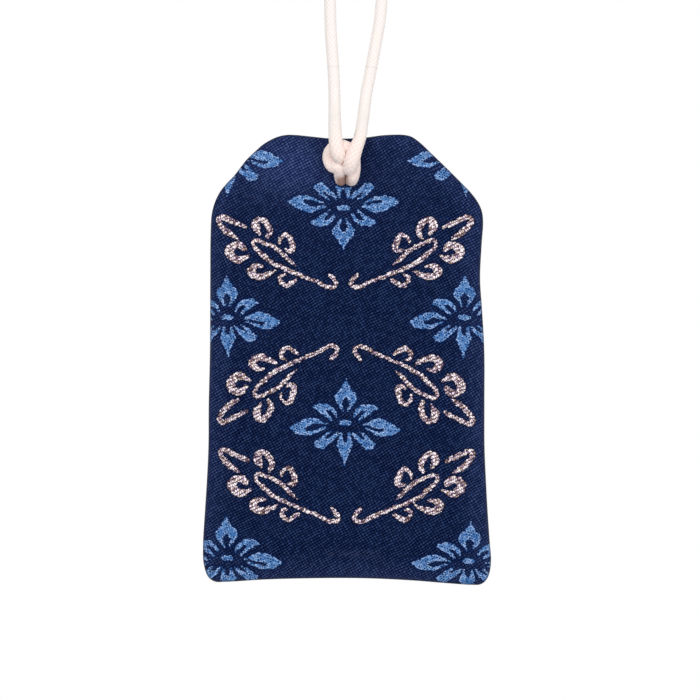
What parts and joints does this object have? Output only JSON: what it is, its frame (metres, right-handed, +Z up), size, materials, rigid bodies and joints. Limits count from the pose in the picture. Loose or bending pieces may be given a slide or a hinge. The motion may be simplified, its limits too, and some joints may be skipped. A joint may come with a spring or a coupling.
{
  "type": "omamori charm",
  "caption": "Flat brocade amulet pouch, stiffened and lightly padded, with a wooden slip in a paper sleeve inside, hung on a knotted loop of round braided cord.",
  "frame": {"origin": "inside the top of the cord loop, just under its end knot, where the charm hangs", "axes": "+Z up along the hanging cord, the pouch's front faces -Y, +X to the right seen from the front"},
  "size_m": [0.0478, 0.0104, 0.1347],
  "materials": {
    "brocade": "navy satin-ground brocade with pale blue flowers and rose-gold vines",
    "thread": "fine navy sewing thread",
    "board": "plain grey-brown card",
    "wadding": "thin cotton wadding",
    "paper": "plain white mulberry paper",
    "slip_wood": "bare planed cypress",
    "braid": "pale pink round braid"
  },
  "bodies": {
    "hanger": {"end_knot": "braid", "left_tail": "braid", "right_tail": "braid"},
    "upper_strands": {"left_strand_upper": "braid", "right_strand_upper": "braid"},
    "lower_strands": {"left_strand_lower": "braid", "right_strand_lower": "braid"},
    "bag": {"front_panel": "brocade", "back_panel": "brocade", "seam_thread": "thread", "stiffener_card": "board", "front_wadding": "wadding", "slip_wrapper": "paper", "inner_slip": "slip_wood", "cord_hitch": "braid"}
  },
  "joints": [
    {"name": "sway", "type": "hinge", "parent": "hanger", "child": "upper_strands", "pos_m": [0, 0, 0], "axis": [0, 1, 0], "range_deg": [-45, 45]},
    {"name": "turn", "type": "hinge", "parent": "upper_strands", "child": "lower_strands", "pos_m": [0, 0, -0.021], "axis": [0, 0, 1], "range_deg": [-180, 180], "stiffness_Nm_per_rad": 0.00002},
    {"name": "swing", "type": "hinge", "parent": "lower_strands", "child": "bag", "pos_m": [0, 0, -0.035], "axis": [1, 0, 0], "range_deg": [-90, 90]}
  ]
}
